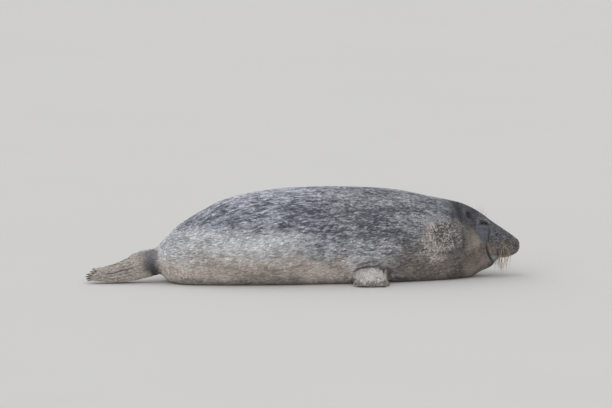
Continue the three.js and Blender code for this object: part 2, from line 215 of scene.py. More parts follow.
class SealColourSettings(bpy.types.PropertyGroup):
    """The colours of the coat's markings."""

    mantle: colour_property("Mantle", "Dark hair of the back", (0.07, 0.075, 0.098))
    fleck: colour_property("Flecks", "Pale hair in the mantle", (0.60, 0.62, 0.69))
    shoulder: colour_property("Shoulder", "Pale hair of the shoulder", (0.55, 0.55, 0.575))
    pale: colour_property("Pale flank", "Pale hair of the rear side", (0.76, 0.76, 0.765))
    belly: colour_property("Belly", "Tan hair low on the body", (0.63, 0.565, 0.51))
    # Also stands for the painted shade low on the fore flippers, below their painted light.
    edge: colour_property("Low edge", "Darker hair of the belly and soles", (0.19, 0.16, 0.14))
    sandy: colour_property("Sandy", "Sandy flecks on the neck", (0.68, 0.62, 0.575))
    # Also the colour of the painted shade where the body meets the floor.
    umber: colour_property("Neck", "Brown hair low on the neck", (0.08, 0.067, 0.06))
    cheek: colour_property("Cheek", "Tan hair of the cheek and throat", (0.34, 0.285, 0.245))
    crown: colour_property("Crown", "Dark hair of the head's top", (0.15, 0.15, 0.172))
    muzzle: colour_property("Muzzle", "Hair low on the muzzle", (0.31, 0.265, 0.24))
    snout: colour_property("Snout", "Hair on top of the muzzle", (0.27, 0.275, 0.30))
    tear: colour_property("Wet hair", "Wet hair under the eye", (0.15, 0.158, 0.188))
    flipper: colour_property("Fore flipper", "Hair of the fore flippers", (0.66, 0.63, 0.60))
    sole: colour_property("Hind flipper", "Hair of the hind flippers", (0.58, 0.52, 0.475))
    # Painted shade for the folds, creases, pits and lid rims; the same near-black also darkens the
    # crown, the freckles, the nose pad, the wet hair and the hind flippers' roots.
    shade_and_black: colour_property("Hollows", "Shade in the folds", (0.022, 0.019, 0.019))


class SealStageSettings(bpy.types.PropertyGroup):
    """The camera, the floor and the lights."""

    azimuth: FloatProperty(
        name="Azimuth", description="Camera's angle round the animal", default=math.radians(-8),
        subtype="ANGLE",
    )
    elevation: FloatProperty(
        name="Elevation", description="Camera's angle over the horizon", default=math.radians(8),
        subtype="ANGLE",
    )
    distance: length_property("Distance", "From the camera to the animal", 30.6)
    lens: FloatProperty(
        name="Lens", description="Focal length", default=600, min=1, subtype="DISTANCE_CAMERA"
    )
    floor: colour_property("Floor", "Colour of the floor", (0.53, 0.517, 0.495))
    sky: FloatProperty(name="Sky", description="Strength of the even light", default=0.62, min=0)
    lamp: FloatProperty(
        name="Lamp", description="Strength of the soft light above", default=1.0, min=0
    )
    fill: FloatProperty(
        name="Fill", description="Strength of the light beside the camera", default=1.5, min=0
    )
    rim: FloatProperty(
        name="Rim", description="Strength of the light from behind", default=0.6, min=0
    )


# ---- Meshes ----


def mesh_from(name, points, faces):
    """A mesh from an array of points and an array of equal faces."""
    mesh = bpy.data.meshes.new(name)
    mesh.vertices.add(len(points))
    mesh.vertices.foreach_set("co", np.asarray(points, np.float32).ravel())
    faces = np.asarray(faces, np.int32)
    corners = faces.shape[1]
    mesh.loops.add(faces.size)
    mesh.loops.foreach_set("vertex_index", faces.ravel())
    mesh.polygons.add(len(faces))
    mesh.polygons.foreach_set("loop_start", np.arange(0, faces.size, corners, dtype=np.int32))
    mesh.update(calc_edges=True)
    return mesh


def placed(name, data):
    """Adds an object to the scene."""
    made = bpy.data.objects.new(name, data)
    bpy.context.scene.collection.objects.link(made)
    return made


def shown(name, mesh, finish, nodes=()):
    """Shows a mesh as a piece that rides with the animal and stands for CAD nodes."""
    piece = placed(name, mesh)
    mesh.polygons.foreach_set("use_smooth", np.ones(len(mesh.polygons), bool))
    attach(piece, "root")
    if nodes:
        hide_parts(*nodes)
    mesh.materials.append(finish)
    return piece


def carry(mesh, name, values):
    """Stores one number or vector for each point."""
    values = np.asarray(values, np.float32)
    kind = "FLOAT" if values.ndim == 1 else "FLOAT_VECTOR"
    mesh.attributes.new(name, kind, "POINT").data.foreach_set(
        "value" if values.ndim == 1 else "vector", values.ravel()
    )


def read(items, key, width, kind=np.float32):
    """One property of all of a mesh's points, edges or corners, as rows of equal width."""
    values = np.empty(width * len(items), kind)
    items.foreach_get(key, values)
    return values.reshape(-1, width)


def carried(mesh, name):
    """The number that each point carries."""
    return read(mesh.attributes[name].data, "value", 1)[:, 0].astype(float)


def points_of(mesh):
    """A mesh's points."""
    return read(mesh.vertices, "co", 3).astype(float)


def triangles_of(mesh):
    """The points at the corners of a mesh's triangles."""
    mesh.calc_loop_triangles()
    return read(mesh.loop_triangles, "vertices", 3, np.int32)


def edges_of(mesh):
    """The points at the ends of a mesh's edges."""
    return read(mesh.edges, "vertices", 2, np.int32)


def facing_of(points, triangles):
    """Each triangle's normal, twice as long as its area is large."""
    a, b, c = (points[triangles[:, corner]] for corner in range(3))
    return np.cross(b - a, c - a)


def normals_of(points, triangles):
    """Each point's normal, from the triangles round it."""
    facing = facing_of(points, triangles)
    total = np.zeros_like(points)
    for corner in range(3):
        for axis in range(3):
            total[:, axis] += np.bincount(
                triangles[:, corner], facing[:, axis], minlength=len(points)
            )
    return unit(total)


def joined(names):
    """The points and triangles of CAD nodes, together."""
    points, triangles, count = [], [], 0
    for name in names:
        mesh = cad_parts[name].data
        points.append(points_of(mesh))
        triangles.append(triangles_of(mesh) + count)
        count += len(mesh.vertices)
    return np.concatenate(points), np.concatenate(triangles)


def tree_of(names):
    """A tree to measure distances to CAD nodes with."""
    points, triangles = joined(names)
    return BVHTree.FromPolygons(points.tolist(), triangles.tolist())


def distance_to(tree, points, limit):
    """How far each point is from a tree's surface, up to a limit."""
    found = (tree.find_nearest(point, limit)[3] for point in points.tolist())
    return np.array([limit if away is None else away for away in found])


def relaxed(points, edges, strength, rounds):
    """Points drawn to the middle of their neighbours, each by its own strength."""
    ends = np.concatenate([edges[:, 0], edges[:, 1]])
    others = np.concatenate([edges[:, 1], edges[:, 0]])
    share = (strength / np.maximum(np.bincount(ends, minlength=len(points)), 1))[:, None]
    for _ in range(rounds):
        pull = np.stack(
            [
                np.bincount(ends, points[others, axis] - points[ends, axis], len(points))
                for axis in range(3)
            ],
            axis=1,
        )
        points = points + share * pull
    return points


# ---- The skin's shape ----


class Skin:
    """The animal's skin while it is shaped."""

    def __init__(self, points, triangles):
        self.points = points
        self.triangles = triangles
        # How much painted shade each point takes, from its folds, pits and lid rims.
        self.shade_and_black = np.zeros(len(points))
        self.bare = np.zeros(len(points))
        self.refresh()

    def refresh(self):
        """Works the normals and the ray tree out again after a change."""
        self.normals = normals_of(self.points, self.triangles)
        self.tree = BVHTree.FromPolygons(self.points.tolist(), self.triangles.tolist())

    def hit(self, start, heading):
        """Where a ray first meets the skin."""
        place = self.tree.ray_cast(Vector(start), Vector(heading))[0]
        if place is None:
            raise RuntimeError(f"no skin from {start} towards {heading}")
        return np.array(place)

    def trace(self, starts, heading):
        """The line that parallel rays draw on the skin, without those that pass its edge."""
        found = (self.tree.ray_cast(Vector(start), Vector(heading))[0] for start in starts)
        line = [np.array(place) for place in found if place is not None]
        if len(line) < 3:
            raise RuntimeError(f"no line on the skin towards {heading} from {starts[0]}")
        return line

    def on_side(self, side, along, up):
        """The place on one flank at a distance along the body and a height."""
        return self.hit((along, side, up), (0, -side, 0))

    def crease(self, line, half_width, depth, dark, lip=0.3, fade=0.22):
        """Sinks a fold along a line on the skin, paints shade into it, and raises the skin a little
        beside it.
        """
        line = np.asarray(line, float)
        reach = 5 * half_width
        low, high = line.min(axis=0) - reach, line.max(axis=0) + reach
        near = np.nonzero(((self.points > low) & (self.points < high)).all(axis=1))[0]
        away, share = beside(self.points[near], line)
        normals = self.normals[near]
        height = dot(away, normals)
        aside = np.sqrt(np.maximum(dot(away, away) - height * height, 0))
        taper = smooth(0, fade, share) * smooth(0, fade, 1 - share)
        taper *= smooth(3 * reach, reach, np.abs(height))
        ridge = 2.3 * half_width
        sunk = np.exp(-((aside / half_width) ** 2))
        raised = np.exp(-(((aside - ridge) / half_width) ** 2))
        move = depth * taper * (lip * raised - sunk)
        self.points[near] += normals * move[:, None]
        # Painted shade in the fold, strongest along its middle.
        self.shade_and_black[near] = np.maximum(self.shade_and_black[near], dark * taper * sunk)


def beside(points, line):
    """Each point's offset from a line, and how far along the line it lies, from 0 to 1."""
    lengths = np.linalg.norm(np.diff(line, axis=0), axis=1)
    best = np.full(len(points), np.inf)
    offset = np.zeros_like(points)
    share = np.zeros(len(points))
    passed = 0.0
    for start, end, length in zip(line[:-1], line[1:], lengths):
        step = end - start
        along = np.clip((points - start) @ step / length**2, 0, 1)
        away = points - (start + along[:, None] * step)
        distance = dot(away, away)
        nearer = distance < best
        best[nearer] = distance[nearer]
        offset[nearer] = away[nearer]
        share[nearer] = (passed + along[nearer] * length) / lengths.sum()
        passed += length
    return offset, share


def merged_flesh(voxel):
    """The flesh and eyeballs of the frame as one closed mesh of even squares."""
    points, triangles = joined(FLESH + ["eye_right", "eye_left"])
    work = bmesh.new()
    work.from_mesh(mesh_from("flesh", points, triangles))
    bmesh.ops.remove_doubles(work, verts=work.verts, dist=0.02 * MM)
    work.normal_update()
    # The solids stand 0.3 mm apart, so each is swollen until they run together.
    for vertex in work.verts:
        vertex.co += vertex.normal * 0.4 * MM
    mesh = bpy.data.meshes.new("flesh")
    work.to_mesh(mesh)
    work.free()
    holder = placed("flesh", mesh)
    remesh = holder.modifiers.new("merge", "REMESH")
    remesh.mode = "VOXEL"
    remesh.voxel_size = voxel
    shape = holder.evaluated_get(bpy.context.evaluated_depsgraph_get())
    made = bpy.data.meshes.new_from_object(shape)
    bpy.data.objects.remove(holder)
    return made


def split_faces(mesh, wanted):
    """Splits the faces whose middle is wanted into four, and keeps the mesh closed."""
    work = bmesh.new()
    work.from_mesh(mesh)
    middles = np.array([face.calc_center_median() for face in work.faces])
    chosen = wanted(middles)
    edges = {edge for face, pick in zip(work.faces, chosen) if pick for edge in face.edges}
    bmesh.ops.subdivide_edges(
        work, edges=sorted(edges, key=lambda edge: edge.index), cuts=1, use_grid_fill=True
    )
    work.to_mesh(mesh)
    work.free()


def smoothed_flesh(settings):
    """The merged flesh with the CAD's facets smoothed out, and finer on the head and limbs."""
    mesh = merged_flesh(settings.voxel)
    points = points_of(mesh)
    flippers = [name for name in FLESH if "flipper" in name]
    boxes = [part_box(name) for name in flippers]
    limbs = tree_of(flippers)

    def limb_share(points):
        return smooth(16 * MM, 3 * MM, distance_to(limbs, points, 20 * MM))

    def on_head_and_limbs(middles):
        inside = np.zeros(len(middles), bool)
        for low, high in boxes:
            inside |= ((middles > np.array(low)) & (middles < np.array(high))).all(axis=1)
        return inside | (middles[:, 0] > NOSE_TIP - 0.21)

    def on_face(middles):
        return middles[:, 0] > NOSE_TIP - 0.135

    def by_eyes(middles):
        return np.linalg.norm(np.abs(middles) - EYE, axis=1) < 30 * MM

    # The second round of smoothing is taken back in part, which keeps the body's girth.
    rounds, taken_back = 30, 0.8
    head = from_tip(points[:, 0], 0.22, 0.14)
    muzzle = from_tip(points[:, 0], 0.09, 0.03)
    strength = 0.5 * (1 - 0.72 * head - 0.14 * muzzle) * (1 - 0.9 * limb_share(points))
    edges = edges_of(mesh)
    once = relaxed(points, edges, strength, rounds)
    twice = relaxed(once, edges, strength, rounds)
    points = once + taken_back * (once - twice)
    mesh.vertices.foreach_set("co", points.astype(np.float32).ravel())

    for wanted in (on_head_and_limbs, on_face, by_eyes):
        split_faces(mesh, wanted)
    points = points_of(mesh)
    limb = limb_share(points)
    fine = from_tip(points[:, 0], 0.22, 0.2)
    points = relaxed(points, edges_of(mesh), 0.5 * np.maximum(fine, 0.6 * limb), 10)
    triangles = triangles_of(mesh)
    bpy.data.meshes.remove(mesh)
    return points, triangles, limb


def drawn_in(skin, settings, limb):
    """Draws the skin in by the depth of the coat, keeping the belly on the floor."""
    x, _, z = skin.points.T
    face = from_tip(x, 0.2, 0.12)
    depth = settings.coat_depth + (settings.face_depth - settings.coat_depth) * face
    depth = depth * (1 - 0.6 * limb)
    depth = depth * from_tip(x, 0, 0.02)
    depth = depth * smooth(0, 14 * MM, z)
    skin.points -= skin.normals * depth[:, None]
    skin.points[:, 2] = np.maximum(skin.points[:, 2], 0.3 * MM)


def eye_frame(side):
    """The eye's centre, and its directions outwards, along the slit and up."""
    centre = EYE * (1, side, 1)
    outwards = unit(np.array(GAZE) * (1, side, 1))
    along = np.array(SLIT_SLOPE)
    along = unit(along - outwards * (along @ outwards))
    up = -side * np.cross(outwards, along)
    return centre, outwards, along, up


def beyond_slit(a, b):
    """How far a place on the eyeball is outside the slit between the lids, less than 0 inside."""
    across = np.clip(1 - (a / SLIT_HALF) ** 2, 0, 1)
    above = b - SLIT_UP * across**0.75
    below = -SLIT_DOWN * across - b
    past = (np.abs(a) - SLIT_HALF) * 0.6
    return np.maximum(np.maximum(above, below), past)


def set_lids(skin):
    """Wraps the lids round each eyeball, open along the slit, and paints shade round their rim."""
    reach, pocket = 34 * MM, 3 * MM
    clearance, lid, blend = 0.1 * MM, 1.5 * MM, 1.2 * MM
    for side in SIDES.values():
        centre, outwards, along, up = eye_frame(side)
        near = np.nonzero(np.linalg.norm(skin.points - centre, axis=1) < reach)[0]
        rays = skin.points[near] - centre
        radius = np.linalg.norm(rays, axis=1)
        rays = rays / radius[:, None]
        facing = np.arccos(np.clip(rays @ outwards, -1, 1))
        outside = beyond_slit(EYE_RADIUS * (rays @ along), EYE_RADIUS * (rays @ up))
        margin = np.clip(outside / lid, 0, 1)
        covered = EYE_RADIUS + clearance + lid * np.sqrt(1 - (1 - margin) ** 2)
        fleshy = blend * np.logaddexp(radius / blend, covered / blend)
        lidded = covered + (fleshy - covered) * smooth(0, 5 * MM, outside)
        sunk = EYE_RADIUS - pocket * smooth(0, -1.2 * MM, outside)
        target = np.where(outside > 0, lidded, sunk)
        share = smooth(math.radians(96), math.radians(68), facing)
        moved = radius + (target - radius) * share
        skin.points[near] = centre + rays * moved[:, None]
        # Painted shade round the lids' rim, where they meet the eyeball.
        rim = share * smooth(4 * MM, 1.2 * MM, outside)
        skin.shade_and_black[near] = np.maximum(skin.shade_and_black[near], rim)
        skin.bare[near] = np.maximum(skin.bare[near], share * smooth(3.6 * MM, 2.2 * MM, outside))


def fold_sides(skin, folds, start_x=0.0, start_z=0.0):
    """Sinks folds, with painted shade in them, into both sides, at their places ahead of and above
    a start.
    """
    for side in SIDES.values():
        for _, places, half_width, depth, dark in folds:
            line = [
                skin.on_side(side, start_x + ahead * MM, start_z + up * MM)
                for ahead, up in places
            ]
            skin.crease(line, half_width * MM, depth * MM, dark)
    skin.refresh()


def open_nostrils(skin):
    """Cuts the nostrils and the groove of the upper lip, with painted shade in them."""
    for side in SIDES.values():
        line = [
            skin.hit((1, side * out * MM, NOSE[2] + up * MM), (-1, 0, 0)) for out, up in NOSTRIL
        ]
        skin.crease(line, 1.8 * MM, 5.5 * MM, 1.3, lip=0.35)
    groove = [skin.hit((1, 0, NOSE[2] + up * MM), (-1, 0, 0)) for up in LIP_GROOVE]
    skin.crease(groove, 1.6 * MM, 1.6 * MM, 0.6)
    skin.refresh()


def set_lips(skin):
    """Parts the hanging lips from the lower jaw under the muzzle, with painted shade along the
    parting.
    """
    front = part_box("jaw")[1].x + 5 * MM
    under = -0.1
    for side in SIDES.values():
        line = [
            skin.hit((front + ahead * MM, side * out * MM, under), (0, 0, 1))
            for ahead, out in LIP
        ]
        skin.crease(line, 1.8 * MM, 4 * MM, 1.2, fade=0.05)
    skin.refresh()


def span_at(points, run, at, across):
    """The lowest and highest place across a flipper, close to a station along it."""
    near = points[np.abs(points[:, run] - at) < 14 * MM, across]
    return near.min(), near.max()


# How deep the webs of a hind flipper are and how dark the shade painted into them is, and the same
# for the groove along its middle.
WEB = (1.5 * MM, 0.25)
GROOVE = (3.2 * MM, 0.8)
# How far out from the body's middle the webs of a fore flipper start.
FORE_WEB_START = 0.166


def part_digits(skin):
    """Sinks the webs between the digits of each flipper, following its outline, with painted shade
    in them.
    """
    webs = np.arange(1, DIGITS) / DIGITS
    for side_name, side in SIDES.items():
        hind, _ = joined([f"hind_flipper_{side_name}"])
        fore, _ = joined([f"fore_flipper_{side_name}"])
        for web in webs:
            starts = []
            for along in np.linspace(HIND_ROOT_X - 70 * MM, hind[:, 0].min() + 34 * MM, 8):
                low, high = span_at(hind, 0, along, 2)
                up = high + (low - high) * (0.1 + 0.8 * web)
                starts.append((along, side, up))
            depth, dark = GROOVE if web == webs[1] else WEB
            skin.crease(skin.trace(starts, (0, -side, 0)), 2.6 * MM, depth, dark, fade=0.3)
            starts = []
            for out in np.linspace(FORE_WEB_START, np.abs(fore[:, 1]).max() - 9 * MM, 6):
                low, high = span_at(fore, 1, side * out, 0)
                along = low + (high - low) * (0.1 + 0.8 * web)
                starts.append((along, side * out, 0.1))
            skin.crease(skin.trace(starts, (0, 0, -1)), 3 * MM, 1.0 * MM, 0.15, fade=0.3)
    skin.refresh()


# Where along the body the wet whiskers bunch together.
CLUMPS = np.array((583, 596, 609)) * MM


def whisker_roots(skin, side):
    """Where the whiskers of one pad grow, as places and their row and column."""
    roots = []
    for row in range(PAD_ROWS):
        for column in range(PAD_ROWS):
            forward = PAD_START[0] + PAD_STEP * column - PAD_SLANT * row + (row % 2) * 3
            up = PAD_START[1] - PAD_STEP * row - PAD_SLANT * column
            if up < PAD_LOW:
                continue
            place = skin.on_side(side, EYE[0] + forward * MM, EYE[2] + up * MM)
            roots.append((place, row, column))
    return roots


def dimple_pads(skin):
    """Presses the pits that the whiskers grow from, each with a low rim round it and painted shade
    in it.
    """
    pit_size, rim_at, rim_size = 1.8 * MM, 3.8 * MM, 1.6 * MM
    for side in SIDES.values():
        for place, _, _ in whisker_roots(skin, side):
            away = skin.points - place
            distance = np.sqrt(dot(away, away))
            pit = np.exp(-((distance / pit_size) ** 2))
            rim = np.exp(-(((distance - rim_at) / rim_size) ** 2))
            skin.points += skin.normals * ((0.35 * rim - 1.1 * pit) * MM)[:, None]
            # Painted shade in each pit.
            skin.shade_and_black = np.maximum(skin.shade_and_black, 0.55 * pit)
    skin.refresh()


def wet_share(points):
    """Where tears wet the hair round and below the eye."""
    ahead = (points[:, 0] - EYE[0]) / MM - WET_MIDDLE[0]
    up = (points[:, 2] - EYE[2]) / MM - WET_MIDDLE[1]
    lean = ahead + up * WET_LEAN
    away = np.sqrt((lean / WET_SIZE[0]) ** 2 + (up / WET_SIZE[1]) ** 2)
    return smooth(1.2, 0.75, away) * smooth(20 * MM, 30 * MM, np.abs(points[:, 1]))


def nose_share(points):
    """Where the nose pad is bare and wet."""
    away = (points - NOSE - np.array(PAD_MIDDLE) * MM) / (np.array(PAD_SIZE) * MM)
    return smooth(1.15, 0.85, np.linalg.norm(away, axis=1))


def unwrap(piece):
    """Unwraps a piece's own shape into the map that its finish is baked through."""
    layer = piece.data.uv_layers.new(name="OFBake")
    layer.active = True
    bpy.context.view_layer.objects.active = piece
    piece.select_set(True)
    bpy.ops.object.mode_set(mode="EDIT")
    bpy.ops.mesh.select_all(action="SELECT")
    bpy.ops.uv.smart_project(angle_limit=math.radians(66), island_margin=0.002)
    bpy.ops.object.mode_set(mode="OBJECT")
    piece.select_set(False)


def make_skin(settings, colours):
    """Makes the one skin that stands for all the flesh."""
    points, triangles, limb = smoothed_flesh(settings)
    skin = Skin(points, triangles)
    drawn_in(skin, settings, limb)
    skin.refresh()
    set_lids(skin)
    skin.refresh()
    fold_sides(skin, HEAD_FOLDS, EYE[0], EYE[2])
    fold_sides(skin, BODY_FOLDS)
    dimple_pads(skin)
    open_nostrils(skin)
    set_lips(skin)
    part_digits(skin)
    skin.points[:, 2] = np.maximum(skin.points[:, 2], 0.2 * MM)
    mesh = mesh_from("skin", skin.points, skin.triangles)
    carry(mesh, "shade_and_black", skin.shade_and_black)
    carry(mesh, "limb", limb)
    carry(mesh, "wet", wet_share(skin.points))
    nose = nose_share(skin.points)
    carry(mesh, "nose", nose)
    carry(mesh, "bare", np.maximum(skin.bare, nose))
    unwrap(shown("skin", mesh, pelt("skin pelt", colours, on_skin=True), FLESH))


# ---- Shader maths ----


class Wire:
    """One output of a node, with arithmetic that adds Math nodes."""

    def __init__(self, sheet, socket):
        self.sheet = sheet
        self.socket = socket

    def maths(self, operation, *terms):
        return self.sheet.node("Math", dict(enumerate(terms)), operation=operation)

    def __add__(self, other):
        return self.maths("ADD", self, other)

    def __sub__(self, other):
        return self.maths("SUBTRACT", self, other)

    def __rsub__(self, other):
        return self.maths("SUBTRACT", other, self)

    def __mul__(self, other):
        return self.maths("MULTIPLY", self, other)

    __radd__ = __add__
    __rmul__ = __mul__

    def least(self, other):
        return self.maths("MINIMUM", self, other)

    def eased(self, low, high):
        """0 up to low, 1 from high on, and smooth in between."""
        values = {"Value": self, "From Min": low, "From Max": high}
        return self.sheet.node("MapRange", values, interpolation_type="SMOOTHSTEP")

    def faded(self, low, high):
        """1 up to low, 0 from high on, and smooth in between."""
        return 1 - self.eased(low, high)

    def between(self, rise, fall):
        """1 from the end of the rise to the start of the fall, and 0 outside both."""
        return self.eased(*rise) * self.faded(*fall)


class Sheet:
    """The nodes of one material."""

    def __init__(self, name):
        self.material = bpy.data.materials.new(name)
        self.material.use_nodes = True
        self.tree = self.material.node_tree
        self.tree.nodes.clear()

    def node(self, kind, values=None, out=0, **settings):
        """Adds a node: its settings first, then its sockets' values or links."""
        made = self.tree.nodes.new("ShaderNode" + kind)
        for key, value in settings.items():
            setattr(made, key, value)
        for key, value in (values or {}).items():
            if isinstance(value, Wire):
                self.tree.links.new(value.socket, made.inputs[key])
            else:
                made.inputs[key].default_value = value
        return Wire(self, made.outputs[out]) if made.outputs else None

    def carried(self, name, vector=False):
        """What the mesh carries for each point."""
        return self.node("Attribute", out=1 if vector else 2, attribute_name=name)

    def parts(self, vector):
        """A vector's x, y and z."""
        split = self.node("SeparateXYZ", {0: vector})
        return [Wire(self, output) for output in split.socket.node.outputs]

    def scaled(self, vector, factors):
        """A vector with each of its parts times a factor."""
        return self.node("VectorMath", {0: vector, 1: factors}, operation="MULTIPLY")

    def noise(self, vector, scale, detail=2.0, roughness=0.5):
        values = {"Vector": vector, "Scale": scale, "Detail": detail, "Roughness": roughness}
        return self.node("TexNoise", values)

    def grain(self, vector, factors, roughness):
        """Noise round 0, with its own number of waves to the metre along each axis."""
        return self.noise(self.scaled(vector, factors), 1, 2, roughness) - 0.5

    def mix(self, share, first, second, blend="MIX"):
        """One colour going over into another."""
        values = {0: share, 6: shade(first), 7: shade(second)}
        return self.node("Mix", values, out=2, data_type="RGBA", blend_type=blend)

    def finish(self, colour, sockets):
        """Ends the sheet in a Principled shader."""
        values = {"Base Color": shade(colour), **sockets}
        surface = self.node("BsdfPrincipled", values)
        self.node("OutputMaterial", {"Surface": surface})
        return self.material


def shade(colour):
    """A colour as a socket takes it."""
    if isinstance(colour, Wire):
        return colour
    return (*tuple(colour)[:3], 1.0)


# ---- Markings ----


class Pattern:
    """A place on the pelt, and the noises that break its markings up there."""

    def __init__(self, sheet, place):
        self.x, y, self.z = sheet.parts(place)
        # The hair's lines close up towards the head and the tail.
        taper = 1 + self.x * self.x * 2.2
        lined = sheet.node("CombineXYZ", {0: self.x, 1: y * taper, 2: self.z * taper})
        self.broad = sheet.noise(place, 6, 2) - 0.5
        self.blotch = sheet.noise(place, 17, 2, 0.55) - 0.5
        self.streak = sheet.grain(lined, (60, 250, 250), 0.6)
        self.brush = sheet.grain(lined, (24, 88, 88), 0.55)
        self.cloud = sheet.grain(lined, (9, 24, 24), 0.55)
        self.curl = sheet.grain(place, (270, 250, 180), 0.65)
        self.fine = sheet.grain(place, (420, 420, 340), 0.6)
        self.layers = sheet.grain(place, (34, 60, 230), 0.55)
        # The streaks are bold behind and finer on the shoulder.
        self.front = self.x.eased(-0.05, 0.15)
        bold = (self.brush * 1.8 + self.blotch * 0.7) * (1 - self.front * 0.6)
        small = self.fine * (self.front * 1.6 + 0.4)
        self.ruffled = self.streak * 3.2 + bold + small + self.cloud * 1.1 + self.broad * 0.5


def back_marks(sheet, at, tints):
    """A dark streaky mantle, with a pale band at the rear and a pale place over the arm."""
    x, z, blotch = at.x, at.z, at.blotch
    rear = (x + at.broad * 0.1).faded(-0.12, 0.12)
    # Paler along the top of the back: partly paler hair there, partly painted light from above and
    # behind.
    pale_and_lit_crest = z.eased(0.215, 0.25)
    band = (z + blotch * 0.06 + at.brush * 0.08).faded(0.145, 0.19) * rear
    arm = x.between((0.02, 0.12), (0.2, 0.3))
    elbow = arm * (z + blotch * 0.09).faded(0.09, 0.15) * (1 + blotch * 3)
    nape = x.between((0.3, 0.36), (0.42, 0.45)) * (z + blotch * 0.1).eased(0.15, 0.18)
    nape = nape * (z + blotch * 0.06).faded(0.2, 0.235)
    behind = x.faded(-0.43, -0.3)
    level = 0.24 + pale_and_lit_crest * 0.18 + rear * 0.08 + band * (0.42 - behind * 0.16) + elbow * 0.5
    level = level + nape * 0.28 - behind * pale_and_lit_crest * 0.1
    grey = sheet.mix(at.front, tints.fleck, tints.shoulder)
    light = sheet.mix(band, grey, tints.pale)
    return sheet.mix(level + at.ruffled * (1 - band * 0.4), tints.mantle, light)


def belly_marks(sheet, at, tints, colour):
    """A tan belly behind the flipper, with grey smudges and sandy specks."""
    low = (at.z + at.broad * 0.08 + at.blotch * 0.08 + at.streak * 0.04).faded(0.055, 0.12)
    low = low * (at.x + at.blotch * 0.1).faded(0.1, 0.2)
    tan = at.ruffled * 0.4 + at.fine * 2 + at.blotch * 1.7 + 0.66
    return sheet.mix(low, colour, sheet.mix(tan, tints.edge, tints.belly))


def neck_marks(sheet, at, tints, colour):
    """A neck that is brown low down, with sandy curls above that break up at their border."""
    x, z, blotch = at.x, at.z, at.blotch
    neck = (x + at.broad * 0.1 + blotch * 0.06).eased(0.17, 0.34)
    brown = neck * (z + at.broad * 0.1 + blotch * 0.05).faded(0.07, 0.165)
    soil = sheet.mix(at.ruffled * 0.5 + at.fine * 2 + blotch * 1.8 + 0.54, tints.umber, tints.cheek)
    colour = sheet.mix(brown * 0.9, colour, soil)
    ruff = (x + blotch * 0.1).between((0.31, 0.37), (0.43, 0.49))
    ruff = ruff * (z + blotch * 0.1).between((0.065, 0.11), (0.155, 0.205))
    ruff = (ruff * 1.3 + at.curl * 2.2 + blotch - 0.35).eased(0, 0.7)
    sandy = sheet.mix(at.curl * 9 + at.fine * 5 + blotch * 2.5 + 0.4, tints.umber, tints.sandy)
    return sheet.mix(ruff * 0.95, colour, sandy)


def head_marks(sheet, at, tints, colour):
    """A tan cheek, a dark crown, a speckled muzzle and a pale chin."""
    x, z, blotch, fine = at.x, at.z, at.blotch, at.fine
    frayed = at.streak * 0.14 + at.curl * 0.06
    head = (x + blotch * 0.16 + frayed + at.broad * 0.04).eased(0.425, 0.51)
    crown = sheet.mix(fine * 4 + blotch * 2 + 0.3, tints.shade_and_black, tints.crown)
    colour = sheet.mix(head, colour, crown)
    cheek = head * (z + (x - 0.47) * 0.45 + blotch * 0.06).faded(0.14, 0.185)
    face = sheet.mix(blotch * 3.6 + fine * 3 + 0.62, tints.umber, tints.cheek)
    colour = sheet.mix(cheek, colour, face)
    # Painted shade behind the ear, at the top of the head.
    occiput_shade = (x + blotch * 0.08 + frayed).eased(0.438, 0.468) * x.faded(0.465, 0.49)
    colour = sheet.mix(occiput_shade * z.eased(0.16, 0.19) * 0.6, colour, tints.shade_and_black)
    snout = (x + blotch * 0.03 + (z - 0.09) * 0.15).eased(0.545, 0.575)
    speck = sheet.mix(z.eased(0.09, 0.13), tints.muzzle, tints.snout)
    freckled = sheet.mix(fine * 6.5 + blotch * 3 + 0.38, tints.shade_and_black, speck)
    colour = sheet.mix(snout, colour, freckled)
    chin = (x + blotch * 0.02).eased(0.556, 0.57) * (z + at.curl * 0.02).faded(0.058, 0.072)
    return sheet.mix(chin * z.eased(0.045, 0.06) * 0.65, colour, tints.shoulder)


def flipper_marks(sheet, at, tints):
    """Plain sandy flippers: the fore ones painted paler on top for the light from above, and so
    darker low along their edge, the hind ones dark at the root, darker still towards the bottom
    there, and blotched at the tip."""
    x, z, blotch, curl = at.x, at.z, at.blotch, at.curl
    fore = x.eased(0, 0.1)
    # Painted light on the upper part of the fore flippers, which face the light above.
    lit_top = fore * (z + curl * 0.025).eased(0.012, 0.034)
    rubbed = curl * 2.2 + at.streak * 1.2 + at.layers * fore * 3.4
    tips = (x + blotch * 0.04).faded(-0.65, -0.615)
    hair = sheet.mix(fore, tints.sole, tints.flipper)
    # Rubbed sand and dark blotched tips, with the painted light on the fore flippers' tops.
    grime_and_top_light = rubbed + 0.62 - fore * 0.42 + lit_top * 0.84 - tips * (blotch * 5 + 0.3)
    colour = sheet.mix(grime_and_top_light, tints.edge, hair)
    wavy = x + blotch * 0.08 + curl * 0.02 + z * 0.3
    root = wavy.faded(-0.435, -0.40) * wavy.eased(-0.485, -0.445)
    # Darker at the root, and darker still towards the bottom there.
    dark_root = sheet.mix(z.eased(0.02, 0.1) + blotch + at.fine, tints.shade_and_black, tints.tear)
    return sheet.mix(root * (1 - z.eased(0.05, 0.11) * 0.45), colour, dark_root)


def tear_marks(sheet, at, tints):
    """Hair wet with tears, with a painted highlight on the lid over the eye."""
    # Painted highlight on the wet upper lid.
    lid_highlight = at.z.eased(EYE[2] + 7 * MM, EYE[2] + 12 * MM) * 0.3
    wet_hair_and_highlight = sheet.mix(lid_highlight, tints.tear, tints.shoulder)
    return sheet.mix(at.fine * 2.5 + at.streak * 2 + 0.72, tints.shade_and_black, wet_hair_and_highlight)


